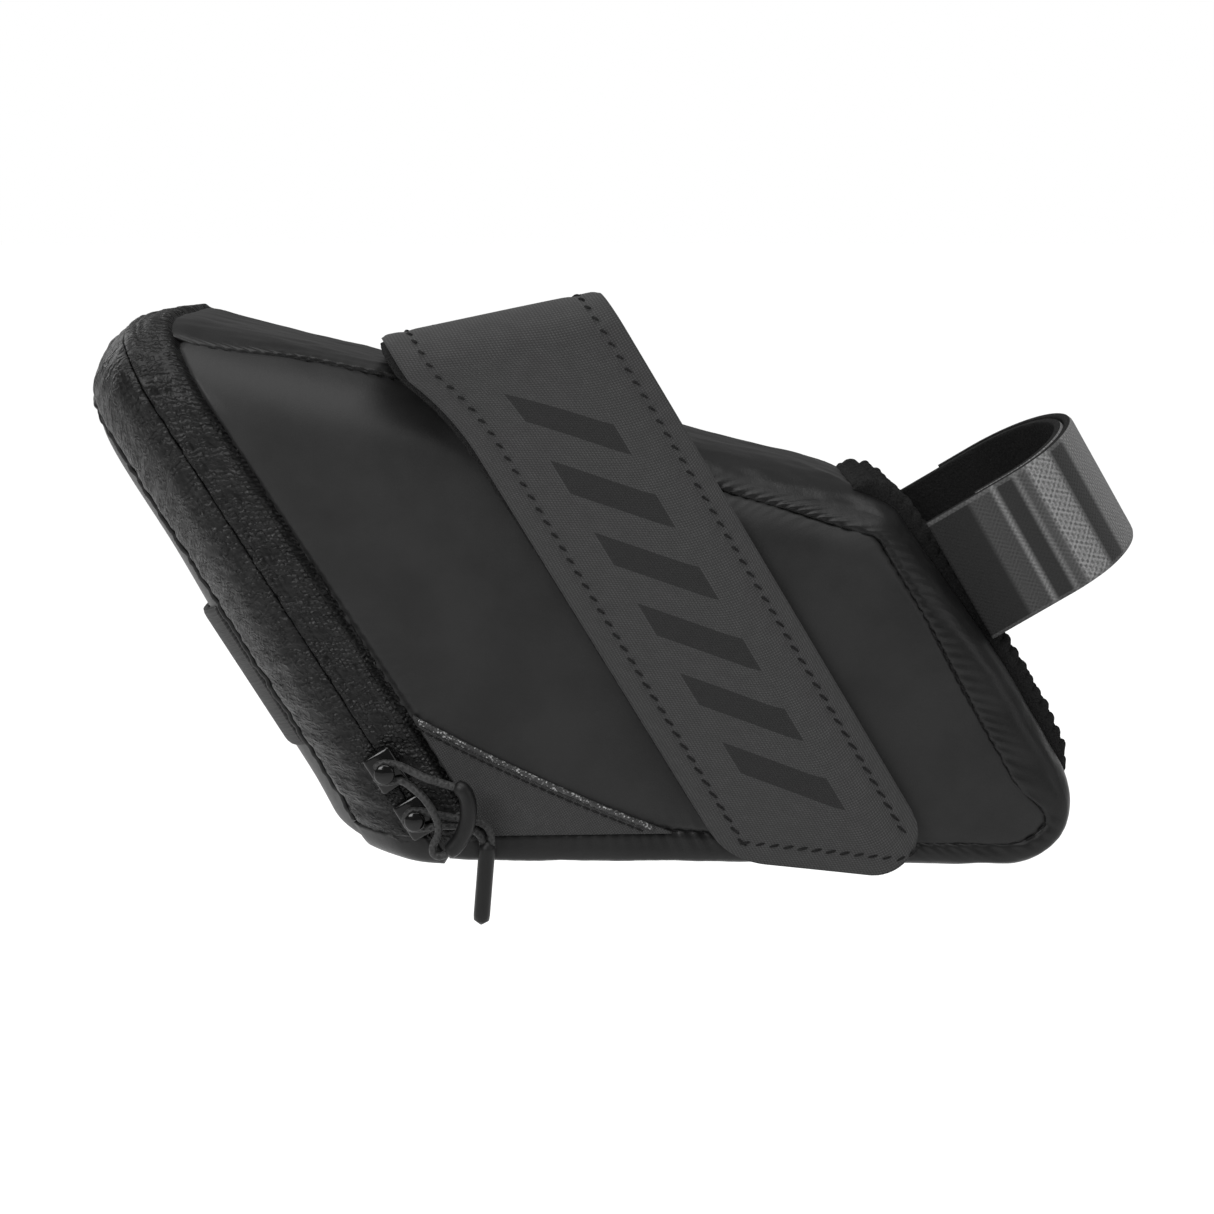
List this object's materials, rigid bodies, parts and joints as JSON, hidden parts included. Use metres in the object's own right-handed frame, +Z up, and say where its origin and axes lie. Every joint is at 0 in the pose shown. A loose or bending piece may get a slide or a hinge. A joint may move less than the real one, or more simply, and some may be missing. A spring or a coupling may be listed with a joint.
{
  "type": "saddle bag",
  "caption": "Wedge-shaped bicycle saddle bag with a zipped rear lid, a broad hook-and-loop strap over the saddle rails and a seat-post loop.",
  "frame": {"origin": "centre of the seat-post loop, on the seat post's axis", "axes": "+X forward to the seat post, +Y to the rider's left, +Z up; the base is level"},
  "size_m": [0.2266, 0.0871, 0.1282],
  "materials": {
    "side_laminate": "smooth satin",
    "gusset_laminate": "smooth satin",
    "stiffener_board": "matt",
    "coated_band": "grained semi-gloss",
    "zip_tape": "matt",
    "patch_fabric": "fine weave",
    "reflective_edging": "sparkling",
    "grip_mesh": "matt knurled",
    "hook_fabric": "matt pile",
    "strap_webbing": "speckled weave",
    "post_webbing": "striped weave",
    "loop_webbing": "matt",
    "slider_enamel": "gloss",
    "braided_cord": "matt",
    "pull_rubber": "satin"
  },
  "bodies": {
    "bag": {"side_panel_right": "side_laminate", "side_panel_left": "side_laminate", "top_panel": "gusset_laminate", "front_panel": "gusset_laminate", "base_panel": "gusset_laminate", "side_board_right": "stiffener_board", "side_board_left": "stiffener_board", "base_board": "stiffener_board", "front_board": "stiffener_board", "zip_band_bag": "coated_band", "zip_tape_bag": "zip_tape", "zip_end_stops": "zip_tape", "corner_patch_right": "patch_fabric", "corner_patch_left": "patch_fabric", "reflective_edge_right": "reflective_edging", "reflective_edge_left": "reflective_edging", "grip_pad": "grip_mesh", "hook_patch": "hook_fabric", "main_strap_left": "strap_webbing", "main_strap_bridge": "strap_webbing", "post_strap_inner": "post_webbing", "post_strap_outer": "post_webbing"},
    "strap_flap": {"main_strap_flap": "strap_webbing"},
    "post_tail": {"post_strap_tail": "post_webbing"},
    "lid": {"zip_band_lid": "coated_band", "zip_tape_lid": "zip_tape", "lid_base_flap": "gusset_laminate", "rear_panel": "gusset_laminate", "rear_board": "stiffener_board", "light_loop": "loop_webbing"},
    "lower_slider": {"slider_lower": "slider_enamel"},
    "upper_slider": {"slider_upper": "slider_enamel"},
    "lower_pull": {"pull_cord_lower": "braided_cord", "pull_tube_lower": "pull_rubber"},
    "upper_pull": {"pull_cord_upper": "braided_cord", "pull_tube_upper": "pull_rubber"}
  },
  "joints": [
    {"name": "lid_hinge", "type": "hinge", "parent": "bag", "child": "lid", "pos_m": [-0.12192, 0, -0.066], "axis": [0, -1, 0], "range_deg": [0, 100]},
    {"name": "strap_flap_hinge", "type": "hinge", "parent": "bag", "child": "strap_flap", "pos_m": [-0.10595, -0.03607, 0.03961], "axis": [-0.9754, -0.0921, -0.2005], "range_deg": [0, 120]},
    {"name": "post_strap_peel", "type": "hinge", "parent": "bag", "child": "post_tail", "pos_m": [0.00017, -0.0199, 0.0001], "axis": [0.515, 0, -0.8572], "range_deg": [0, 110]},
    {"name": "lower_slider_slide", "type": "slide", "parent": "bag", "child": "lower_slider", "axis": [-0.515, 0, 0.8572], "range_m": [0, 0.025]},
    {"name": "upper_slider_slide", "type": "slide", "parent": "lower_slider", "child": "upper_slider", "axis": [-0.515, 0, 0.8572], "range_m": [0, 0.06]},
    {"name": "lower_pull_swing", "type": "hinge", "parent": "lower_slider", "child": "lower_pull", "pos_m": [-0.12876, -0.042, -0.05462], "axis": [0, -1, 0], "range_deg": [-90, 75]},
    {"name": "upper_pull_swing", "type": "hinge", "parent": "upper_slider", "child": "upper_pull", "pos_m": [-0.13468, -0.042, -0.04476], "axis": [0, -1, 0], "range_deg": [-90, 75]}
  ]
}
